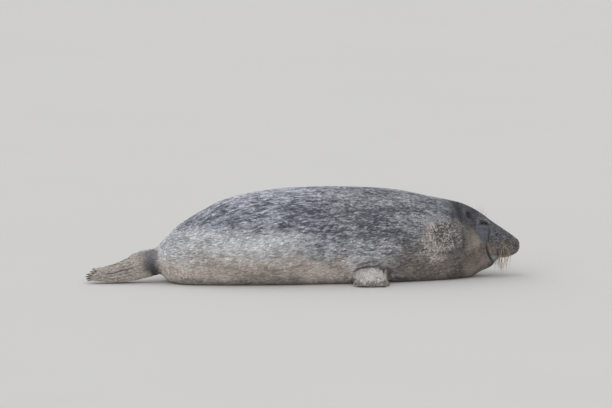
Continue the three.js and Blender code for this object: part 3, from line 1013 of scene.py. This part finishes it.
def markings(sheet, place, tints, limb, wet):
    """The colour of the pelt at a place, the same for the skin and for the coat over it."""
    at = Pattern(sheet, place)
    colour = back_marks(sheet, at, tints)
    for region in (belly_marks, neck_marks, head_marks):
        colour = region(sheet, at, tints, colour)
    colour = sheet.mix(limb, colour, flipper_marks(sheet, at, tints))
    # Painted shade where the body meets the floor, darkest at the bottom.
    contact_shade = (at.z + at.blotch * 0.02).faded(0.004, 0.026)
    colour = sheet.mix(contact_shade * 0.45 * (1 - limb), colour, tints.umber)
    tears = (wet + at.curl * 0.9).eased(0.25, 0.65) * 0.95
    return sheet.mix(tears, colour, tear_marks(sheet, at, tints))


def pelt(name, colours, on_skin):
    """The pelt's finish, for the skin or for the coat."""
    sheet = Sheet(name)
    position = sheet.node("TexCoord", out=3)
    place = position if on_skin else sheet.carried("root", vector=True)
    shade_and_black = sheet.carried("shade_and_black")
    wet = sheet.carried("wet")
    colour = markings(sheet, place, colours, sheet.carried("limb"), wet)
    if on_skin:
        nose = sheet.carried("nose")
        strands = sheet.noise(sheet.scaled(position, (110, 620, 620)), 1, 2, 0.6)
        colour = sheet.mix(1.0, colour, strands * 0.7 + 0.45, "MULTIPLY")
        colour = sheet.mix(nose * 0.9, colour, colours.shade_and_black)
        grain = sheet.noise(position, 900, 2) * nose
        height = strands * (1 - nose) + grain * 0.35
        roughness = 0.78 - nose * 0.42 - wet * 0.25
        bump = {"Strength": 0.6, "Distance": 0.9 * MM, "Height": height}
    else:
        # Each tuft's random tone, times painted shade that darkens it towards its root, under the
        # hair lying over it.
        tone_and_root_shade = sheet.carried("tone") * 0.7 + 0.68
        tone_and_root_shade = tone_and_root_shade * (sheet.carried("tip").eased(0.0, 0.6) * 0.25 + 0.78)
        colour = sheet.mix(1.0, colour, tone_and_root_shade, "MULTIPLY")
        strands = sheet.noise(sheet.scaled(position, (300, 1500, 1500)), 1, 1, 0.5)
        roughness = 0.74 - wet * 0.22
        bump = {"Strength": 0.35, "Distance": 0.4 * MM, "Height": strands}
    # Painted shade in the folds, creases, pits and round the lids, as each point carries it.
    colour = sheet.mix(shade_and_black.least(1) * 0.85, colour, colours.shade_and_black)
    return sheet.finish(
        colour,
        {
            "Roughness": roughness,
            "Normal": sheet.node("Bump", bump),
            "Specular IOR Level": 0.35,
            "Sheen Weight": 0.15,
            "Sheen Roughness": 0.5,
        },
    )


def eyeball_finish():
    """A dark wet eye: black pupil, nearly black iris and a dull rim."""
    sheet = Sheet("wet eye")
    turn = sheet.carried("turn")
    position = sheet.node("TexCoord", out=3)
    rays = sheet.noise(position, 420, 3, 0.6)
    iris = sheet.mix(rays, (0.005, 0.004, 0.0035), (0.016, 0.01, 0.008))
    colour = sheet.mix(turn.eased(0.3, 0.34), (0.002, 0.002, 0.003), iris)
    colour = sheet.mix(turn.eased(0.66, 0.74), colour, (0.01, 0.007, 0.006))
    veins = sheet.mix(rays.eased(0.5, 0.7) * 0.5, (0.05, 0.036, 0.03), (0.04, 0.016, 0.013))
    colour = sheet.mix(turn.eased(0.95, 1.05), colour, veins)
    return sheet.finish(
        colour,
        {
            "Roughness": 0.1 + turn * 0.06,
            "Coat Weight": 0.25,
            "Coat Roughness": 0.12,
            "Specular IOR Level": 0.1,
        },
    )


def horn_finish():
    """Dark horn with fine lengthwise lines and a paler worn tip."""
    sheet = Sheet("claw horn")
    along = sheet.carried("along")
    position = sheet.node("TexCoord", out=3)
    lines = sheet.noise(sheet.scaled(position, (700, 160, 700)), 1, 2)
    colour = sheet.mix(lines, (0.03, 0.026, 0.023), (0.12, 0.1, 0.085))
    # The fore claws are worn paler than the hind ones.
    fore = sheet.parts(position)[0].eased(-0.1, 0.1)
    colour = sheet.mix(along.eased(0.6, 1.0) * 0.5 + fore * 0.4, colour, (0.30, 0.26, 0.22))
    bump = sheet.node("Bump", {"Strength": 0.4, "Distance": 0.3 * MM, "Height": lines})
    return sheet.finish(colour, {"Roughness": 0.36 + lines * 0.2, "Normal": bump})


def whisker_finish():
    """Stiff hair, dark at the root, then pale with wet sand in it."""
    sheet = Sheet("whisker")
    along = sheet.carried("along")
    position = sheet.node("TexCoord", out=3)
    sand = sheet.noise(position, 240, 2, 0.6)
    colour = sheet.mix(along.eased(0.25, 0.6), (0.06, 0.052, 0.05), (0.54, 0.45, 0.35))
    sandy = sand.eased(0.47, 0.56) * along.eased(0.3, 0.6) * 0.9
    colour = sheet.mix(sandy, colour, (0.19, 0.11, 0.06))
    return sheet.finish(colour, {"Roughness": 0.4 + sand * 0.2})


def floor_finish(tint):
    """Plain pale matt floor."""
    sheet = Sheet("pale floor")
    position = sheet.node("TexCoord", out=3)
    cloudy = sheet.noise(position, 1.4, 3)
    darker = [channel * 0.97 for channel in tint]
    return sheet.finish(sheet.mix(cloudy, darker, tint), {"Roughness": 0.9})


# ---- Eyes, claws and whiskers ----


def make_eye(side_name, finish):
    """One eyeball, a little flattened, with its cornea standing proud."""
    around, rings = 40, 28
    flat, cornea, cornea_spread = 0.25 * MM, 0.6 * MM, 0.55
    centre, outwards, along, up = eye_frame(SIDES[side_name])
    angle = np.linspace(0, 2 * np.pi, around, endpoint=False)
    turns = np.linspace(0, np.pi, rings + 1)[1:-1]
    radius = EYE_RADIUS - flat + cornea * np.exp(-((turns / cornea_spread) ** 2))
    ring = np.cos(angle)[:, None] * along + np.sin(angle)[:, None] * up
    points = [
        centre + r * (np.cos(turn) * outwards + np.sin(turn) * ring)
        for r, turn in zip(radius, turns)
    ]
    front = centre + outwards * (EYE_RADIUS - flat + cornea)
    back = centre - outwards * (EYE_RADIUS - flat)
    points = np.concatenate([*points, [front, back]])
    work = bmesh.new()
    verts = [work.verts.new(point) for point in points]
    last = (rings - 2) * around
    for i in range(around):
        j = (i + 1) % around
        work.faces.new([verts[-2], verts[i], verts[j]])
        work.faces.new([verts[-1], verts[last + j], verts[last + i]])
        for a in range(0, last, around):
            b = a + around
            work.faces.new([verts[k] for k in (a + i, b + i, b + j, a + j)])
    bmesh.ops.recalc_face_normals(work, faces=work.faces)
    mesh = bpy.data.meshes.new(f"eye_{side_name}")
    work.to_mesh(mesh)
    work.free()
    carry(mesh, "turn", np.concatenate([np.repeat(turns, around), [0, np.pi]]))
    shown(f"eyeball_{side_name}", mesh, finish, [f"eye_{side_name}"])


def tapered_tubes(name, paths, radii, sides):
    """A mesh of closed tapering tubes along paths, which carries the share along each."""
    points, faces, along = [], [], []
    for path, radius in zip(paths, radii):
        start = len(points)
        path = np.asarray(path, float)
        ahead = unit(np.gradient(path, axis=0))
        first = unit(np.cross(ahead, (0.31, 0.22, 0.93)))
        second = np.cross(ahead, first)
        rows = len(path) - 1
        for row in range(rows):
            for i in range(sides):
                angle = 2 * math.pi * i / sides
                rim = math.cos(angle) * first[row] + math.sin(angle) * second[row]
                points.append(path[row] + radius[row] * rim)
                along.append(row / rows)
        points.append(path[-1])
        along.append(1.0)
        tip = len(points) - 1
        for row in range(rows - 1):
            a, b = start + row * sides, start + (row + 1) * sides
            for i in range(sides):
                j = (i + 1) % sides
                faces.append((a + i, a + j, b + j))
                faces.append((a + i, b + j, b + i))
        last = start + (rows - 1) * sides
        for i in range(sides):
            faces.append((last + i, last + (i + 1) % sides, tip))
        for i in range(1, sides - 1):
            faces.append((start, start + i + 1, start + i))
    points, faces = np.array(points), np.array(faces)
    outwards = points[faces[:, 0]] - points.mean(axis=0)
    if dot(outwards, facing_of(points, faces)).sum() < 0:
        faces = faces[:, ::-1]
    mesh = mesh_from(name, points, faces)
    carry(mesh, "along", along)
    return mesh


def claw_line(node):
    """A claw's root, bend and tip, from its CAD cone."""
    points, _ = joined([node])
    middle = points.mean(axis=0)
    tip = points[np.argmax(np.linalg.norm(points - middle, axis=1))]
    away = np.linalg.norm(points - tip, axis=1)
    root = points[away > 0.85 * away.max()].mean(axis=0)
    halfway = points[(away > 0.3 * away.max()) & (away < 0.75 * away.max())].mean(axis=0)
    return root, halfway, tip


def make_claws(limb, side_name, thickness, finish):
    """The five claws of one flipper, hooked and ridged."""
    name = f"claws_{limb}_{side_name}"
    nodes = [f"{limb}_claw_{side_name}_{digit + 1}" for digit in range(DIGITS)]
    share = np.linspace(0, 1, 11)
    swell = np.sqrt(1 - share**2.2) * (1 + 0.08 * np.sin(9 * share))
    share = share[:, None]
    paths = []
    for node in nodes:
        root, halfway, tip = claw_line(node)
        bend = 2 * halfway - (root + tip) / 2
        paths.append((1 - share) ** 2 * root + 2 * share * (1 - share) * bend + share**2 * tip)
    mesh = tapered_tubes(name, paths, [thickness * swell] * DIGITS, 12)
    shown(name, mesh, finish, nodes)


def skin_piece():
    """The skin that has been made, as points, triangles and a ray tree."""
    mesh = bpy.data.objects["skin"].data
    return Skin(points_of(mesh), triangles_of(mesh))


# How many places a whisker's path has, how far it stands out before it hangs, the length of the
# top row, which each row below adds again, in millimetres, and how near the floor one may end.
WHISKER_PLACES = 10
WHISKER_OUT = 15 * MM
WHISKER_ROW = 16
WHISKER_END = 14 * MM
BROW_WHISKERS = 5


def hanging(root, out, fall, sway):
    """A whisker's path: out of the skin, then over in a curve, with a slight wave."""
    share = np.linspace(0, 1, WHISKER_PLACES)[:, None]
    path = root + 2 * share * (1 - share) * out + share**2 * (out + fall)
    return path + np.sin(6 * share) * share * sway


def make_whiskers(seed):
    """The whiskers of both pads and the brow, growing from the skin."""
    random = np.random.default_rng(seed)
    skin = skin_piece()
    taper = (1 - np.linspace(0, 1, WHISKER_PLACES) ** 3) + 0.1
    paths, radii = [], []
    for side in SIDES.values():
        for place, row, column in whisker_roots(skin, side):
            out = unit((0.3 - 0.12 * column, side * 0.75, -0.25 - 0.1 * row)) * WHISKER_OUT
            length = (WHISKER_ROW * (1 + row) + random.uniform(-8, 12)) * MM
            length = min(length, place[2] + out[2] - WHISKER_END)
            # Wet whiskers hang together in bunches.
            bunch = CLUMPS[(column + row) % len(CLUMPS)] - place[0] - out[0]
            along = bunch * 0.75 * smooth(1.5, 3.5, row) + random.normal(0, 2.5 * MM)
            fall = np.array((along, side * random.normal(-6, 4) * MM, -length))
            sway = random.normal(0, 1.1 * MM, 3)
            paths.append(hanging(place - out * 0.1, out, fall, sway))
            radii.append(random.uniform(0.42, 0.82) * MM * taper)
        for index in range(BROW_WHISKERS):
            place = skin.on_side(side, EYE[0] + (-15 + 4 * index) * MM, EYE[2] + 22 * MM)
            out = unit((-0.45 + 0.2 * index, side * 0.5, 0.9)) * random.uniform(18, 30) * MM
            fall = np.array((random.normal(5, 6), side * 4, random.uniform(6, 24))) * MM
            paths.append(hanging(place - out * 0.1, out, fall, random.normal(0, 0.8 * MM, 3)))
            radii.append(0.4 * MM * taper)
    shown("whiskers", tapered_tubes("whiskers", paths, radii, 5), whisker_finish())


# ---- The coat ----

# A tuft is a closed sliver: three points at the root, three halfway and one at the tip.
TUFT_ACROSS = np.array((-0.5, 0.5, 0.0, -0.5, 0.5, 0.0, 0.0))
TUFT_ALONG = np.array((0.0, 0.0, 0.0, 0.5, 0.5, 0.5, 1.0))
TUFT_FACES = np.array([
    (0, 2, 1), (0, 1, 4), (0, 4, 3), (1, 2, 5), (1, 5, 4), (2, 0, 3), (2, 3, 5),
    (3, 4, 6), (4, 5, 6), (5, 3, 6),
])
TUFT_POINTS = len(TUFT_ALONG)
# The side of the square that a tuft takes up in its map, and the most tufts of one piece.
PATCH = 0.003
MOST_TUFTS = 19000
# The coat's stretches from the tail on, each with the place along the body where it ends.
STRETCHES = [("rump", -0.27), ("loin", 0.0), ("shoulder", 0.26), ("neck", 0.46), ("head", 1.0)]


def lie_of(points, normals, limb):
    """The direction in which the hair lies at each point."""
    x, y, z = points.T
    side = np.sign(y)
    heading = np.stack([-np.ones_like(x), 0 * x, -0.22 * smooth(0.0, 0.1, np.abs(y))], axis=1)
    to_tail = unit(TAIL_ROOT - points)
    rump = smooth(TAIL_ROOT[0] + 0.1, TAIL_ROOT[0] + 0.02, x)[:, None] * (1 - limb)[:, None]
    heading = heading * (1 - rump) + to_tail * rump
    from_nose = unit(points - np.array((NOSE_TIP - 0.005, 0, NOSE[2] - 0.005)))
    front = from_tip(x, 0.07, 0.01)[:, None]
    heading = heading * (1 - front) + from_nose * front
    arm = (limb * smooth(0, 0.1, x))[:, None]
    down_arm = np.stack([-0.25 * np.ones_like(x), side, -0.45 * np.ones_like(x)], axis=1)
    heading = heading * (1 - arm) + down_arm * arm
    return unit(heading - normals * dot(heading, normals)[:, None])


def curly(place):
    """Where the hair of the neck is short and curly."""
    along = smooth(0.32, 0.36, place[:, 0]) * smooth(0.49, 0.44, place[:, 0])
    return along * smooth(0.06, 0.1, place[:, 2]) * smooth(0.21, 0.17, place[:, 2])


def scattered(mesh, random):
    """Draws the roots of the tufts, denser where the tufts are small."""
    points = points_of(mesh)
    triangles = triangles_of(mesh)
    normals = normals_of(points, triangles)
    facing = facing_of(points, triangles)
    area = np.linalg.norm(facing, axis=1) / 2
    middle = sum(points[triangles[:, corner]] for corner in range(3)) / 3
    values = {name: carried(mesh, name) for name in ("shade_and_black", "limb", "wet", "bare")}
    limb = values["limb"][triangles].mean(axis=1)
    bare = values["bare"][triangles].mean(axis=1)
    face = from_tip(middle[:, 0], 0.21, 0.1)
    # Square millimetres of skin to each tuft.
    spacing = 7.0 - 3.4 * face - 1.4 * limb - 2.2 * curly(middle) * (1 - limb)
    under = (middle[:, 2] < 4 * MM) & (facing[:, 2] < 0)
    weight = area / (spacing * MM * MM) * (bare < 0.4) * (1 - under)
    count = int(weight.sum())
    chosen = random.choice(len(triangles), count, p=weight / weight.sum())
    mix = random.dirichlet((1, 1, 1), count)
    corners = triangles[chosen]

    def at_roots(per_point):
        return np.einsum("ij,ij...->i...", mix, per_point[corners])

    uv = read(mesh.uv_layers["OFBake"].data, "uv", 2).reshape(-1, 3, 2)[chosen]
    return {
        "place": at_roots(points),
        "normal": unit(at_roots(normals)),
        "uv": np.einsum("ij,ijk->ik", mix, uv),
        **{name: at_roots(value) for name, value in values.items()},
    }


def hugging(tree, guesses, height):
    """Places that stand at a height over the skin nearest to each guess, with its normal."""
    places, normals = [], []
    for guess in guesses.tolist():
        place, normal, _, _ = tree.find_nearest(guess)
        places.append(place)
        normals.append(normal)
    normals = np.array(normals)
    return np.array(places) + normals * height[:, None]


def tufts_from(roots, tree, settings, random):
    """The points of every tuft, and what each tuft carries."""
    count = len(roots["place"])
    place, normal = roots["place"], roots["normal"]
    limb = roots["limb"]
    face = from_tip(place[:, 0], 0.235, 0.15) * (1 - limb)

    def sized(body, head, flipper):
        return body + (head - body) * face + (flipper - body) * limb

    length = sized(settings.body_length, settings.face_length, settings.flipper_length)
    width = sized(settings.body_width, settings.face_width, settings.flipper_width)
    length = length * random.uniform(0.7, 1.25, count)
    width = width * random.uniform(0.7, 1.2, count)
    lift = settings.lift * (1 - 0.62 * face) * (1 - 0.5 * limb) * random.uniform(0.35, 1.1, count)
    lift = lift * (1 - 0.6 * roots["wet"])
    heading = lie_of(place, normal, limb)
    across = np.cross(normal, heading)
    ruff = curly(place)
    x, y, z = place.T
    to_eye = np.linalg.norm(np.stack([x, np.abs(y), z], axis=1) - EYE, axis=1)
    near_eye = smooth(34 * MM, 16 * MM, to_eye)
    length = length * (1 - 0.5 * ruff) * (1 - 0.35 * near_eye)
    width = width * (1 - 0.35 * ruff)
    turn = (random.normal(0, 0.16, count) * (1 + 3.5 * ruff))[:, None]
    heading = unit(heading + across * turn)
    across = np.cross(normal, heading)
    stray = random.normal(0, 0.08, count)[:, None]
    halfway = hugging(tree, place + heading * length[:, None] * 0.5, lift * 0.75)
    tip = hugging(tree, place + (heading + across * stray) * length[:, None], lift)
    sink, most_thick = 0.5 * MM, 0.7 * MM
    thick = np.minimum(width * 0.3, most_thick)[:, None]
    root = place - normal * sink
    half = across * width[:, None] * 0.5
    points = np.stack(
        [
            root - half * 0.6, root + half * 0.6, root + normal * (thick + sink),
            halfway - half, halfway + half, halfway + normal * thick,
            tip,
        ],
        axis=1,
    )
    points[:, :, 2] = np.maximum(points[:, :, 2], 0.1 * MM)
    tone = np.clip(random.normal(0.5, 0.24, count), 0, 1)
    return points, tone


def coat_region(place, limb):
    """Names the stretch of coat that each tuft belongs to."""
    names, ends = zip(*STRETCHES)
    along = np.array(names)[np.digitize(place[:, 0], ends)]
    along = np.where(limb > 0.5, "flipper", along)
    return np.char.add(along, np.where(place[:, 1] < 0, "_right", "_left"))


def make_coat(settings, colours):
    """The short coat, as joined tufts over the whole skin, in several pieces."""
    random = np.random.default_rng(settings.seed)
    roots = scattered(bpy.data.objects["skin"].data, random)
    points, tone = tufts_from(roots, skin_piece().tree, settings, random)
    regions = coat_region(roots["place"], roots["limb"])
    finish = pelt("coat pelt", colours, on_skin=False)
    patch = np.stack([TUFT_ACROSS, TUFT_ALONG - 0.5], axis=1) * PATCH
    per_tuft = {"root": roots["place"], "tone": tone}
    per_tuft.update({name: roots[name] for name in ("shade_and_black", "limb", "wet")})
    for region in sorted(set(regions)):
        members = np.nonzero(regions == region)[0]
        for part, start in enumerate(range(0, len(members), MOST_TUFTS)):
            name = f"coat_{region}_{part + 1}"
            chosen = members[start:start + MOST_TUFTS]
            firsts = TUFT_POINTS * np.arange(len(chosen))
            faces = (TUFT_FACES[None] + firsts[:, None, None]).reshape(-1, 3)
            mesh = mesh_from(name, points[chosen].reshape(-1, 3), faces)
            for key, values in per_tuft.items():
                carry(mesh, key, np.repeat(values[chosen], TUFT_POINTS, axis=0))
            carry(mesh, "tip", np.tile(TUFT_ALONG, len(chosen)))
            uv = (roots["uv"][chosen][:, None] + patch).reshape(-1, 2)[faces.ravel()]
            layer = mesh.uv_layers.new(name="OFBake")
            layer.data.foreach_set("uv", uv.astype(np.float32).ravel())
            shown(name, mesh, finish)


# ---- The stage ----

FLOOR_HALF = 90.0
# How far the camera's view is shifted, as shares of its width.
SHIFT_X = 4 / 612
SHIFT_Y = 75.4 / 612
# What the camera turns round: the floor under the animal's middle.
TARGET = (-3.5 * MM, 0.0, 0.0)


def make_floor(tint):
    """A wide plain floor."""
    corners = [(-1, -1), (1, -1), (1, 1), (-1, 1)]
    points = [(x * FLOOR_HALF, y * FLOOR_HALF, 0) for x, y in corners]
    mesh = mesh_from("floor", points, [(0, 1, 2, 3)])
    mesh.materials.append(floor_finish(tint))
    placed("floor", mesh)


def soft_light(name, place, spread, strength, tint):
    """A broad even light that reaches the animal from a place's direction."""
    lamp = bpy.data.lights.new(name, "SUN")
    lamp.angle = spread
    lamp.energy = strength
    lamp.color = tint
    holder = placed(name, lamp)
    holder.location = place
    holder.rotation_euler = (-Vector(place)).to_track_quat("-Z", "Y").to_euler()


def make_camera(settings):
    """A long lens at a distance, which looks at the animal's right side."""
    camera = bpy.data.cameras.new("camera")
    camera.lens = settings.lens
    camera.sensor_width = 36
    camera.shift_x = SHIFT_X
    camera.shift_y = SHIFT_Y
    camera.clip_end = 500
    holder = placed("camera", camera)
    turn, rise = settings.azimuth, settings.elevation
    level = math.cos(rise)
    back = Vector((math.sin(turn) * level, -math.cos(turn) * level, math.sin(rise)))
    holder.location = Vector(TARGET) + back * settings.distance
    holder.rotation_euler = (-back).to_track_quat("-Z", "Y").to_euler()
    bpy.context.scene.camera = holder


def make_world(strength):
    """Even light from all round."""
    world = bpy.data.worlds.new("even sky")
    world.use_nodes = True
    background = world.node_tree.nodes["Background"]
    background.inputs["Color"].default_value = (0.93, 0.96, 1.0, 1.0)
    background.inputs["Strength"].default_value = strength
    bpy.context.scene.world = world


# ---- Operators ----


class SEAL_OT_skin(bpy.types.Operator):
    """Make the one skin over all the flesh, with lids, folds, nostrils and digits"""

    bl_idname = "seal.skin"
    bl_label = "Skin"

    def execute(self, context):
        make_skin(context.scene.seal_skin, context.scene.seal_colours)
        return {"FINISHED"}


class SEAL_OT_eyes(bpy.types.Operator):
    """Make the two eyeballs behind the lids"""

    bl_idname = "seal.eyes"
    bl_label = "Eyes"

    def execute(self, context):
        finish = eyeball_finish()
        for side in SIDES:
            make_eye(side, finish)
        return {"FINISHED"}


class SEAL_OT_claws(bpy.types.Operator):
    """Make the claws of the four flippers"""

    bl_idname = "seal.claws"
    bl_label = "Claws"

    def execute(self, context):
        finish = horn_finish()
        for side in SIDES:
            make_claws("fore", side, 2.6 * MM, finish)
            make_claws("hind", side, 1.9 * MM, finish)
        return {"FINISHED"}


class SEAL_OT_whiskers(bpy.types.Operator):
    """Grow the whiskers of the muzzle and the brow"""

    bl_idname = "seal.whiskers"
    bl_label = "Whiskers"

    def execute(self, context):
        make_whiskers(context.scene.seal_coat.seed + 1)
        return {"FINISHED"}


class SEAL_OT_coat(bpy.types.Operator):
    """Cover the skin with short tufts that follow the lie of the coat"""

    bl_idname = "seal.coat"
    bl_label = "Coat"

    def execute(self, context):
        make_coat(context.scene.seal_coat, context.scene.seal_colours)
        return {"FINISHED"}


class SEAL_OT_stage(bpy.types.Operator):
    """Set up the floor, the soft lights and the camera"""

    bl_idname = "seal.stage"
    bl_label = "Stage"

    def execute(self, context):
        stage = context.scene.seal_stage
        make_floor(stage.floor)
        make_world(stage.sky)
        soft_light("overhead", (-1.0, -1.2, 4.2), math.radians(110), stage.lamp, (1.0, 0.99, 0.97))
        soft_light("fill", (-2.0, -5.5, 2.0), math.radians(110), stage.fill, (1.0, 1.0, 1.0))
        soft_light("rim", (-3.6, 3.0, 2.6), math.radians(60), stage.rim, (0.97, 0.985, 1.0))
        make_camera(stage)
        context.scene.view_settings.view_transform = "Standard"
        return {"FINISHED"}


class SEAL_PT_panel(bpy.types.Panel):
    """Lists the seal's settings and what makes its pieces"""

    bl_idname = "SEAL_PT_panel"
    bl_label = "Grey seal"
    bl_space_type = "VIEW_3D"
    bl_region_type = "UI"
    bl_category = "Seal"

    def draw(self, context):
        column = self.layout.column()
        for operator in OPERATORS:
            column.operator(operator.bl_idname)
        for key in SETTINGS:
            group = getattr(context.scene, key)
            for name in group.__annotations__:
                column.prop(group, name)


SETTINGS = {
    "seal_skin": SealSkinSettings,
    "seal_coat": SealCoatSettings,
    "seal_colours": SealColourSettings,
    "seal_stage": SealStageSettings,
}
OPERATORS = [
    SEAL_OT_skin, SEAL_OT_eyes, SEAL_OT_claws, SEAL_OT_whiskers, SEAL_OT_coat, SEAL_OT_stage,
]


def register():
    for group in SETTINGS.values():
        bpy.utils.register_class(group)
    for key, group in SETTINGS.items():
        setattr(bpy.types.Scene, key, PointerProperty(type=group))
    for kind in [*OPERATORS, SEAL_PT_panel]:
        bpy.utils.register_class(kind)


def unregister():
    for kind in [SEAL_PT_panel, *OPERATORS]:
        bpy.utils.unregister_class(kind)
    for key, group in SETTINGS.items():
        delattr(bpy.types.Scene, key)
        bpy.utils.unregister_class(group)


def main():
    """Makes the seal and its stage."""
    register()
    bpy.ops.seal.skin()
    bpy.ops.seal.eyes()
    bpy.ops.seal.claws()
    bpy.ops.seal.whiskers()
    bpy.ops.seal.coat()
    bpy.ops.seal.stage()
    bpy.context.view_layer.update()


if __name__ == "__main__":
    main()
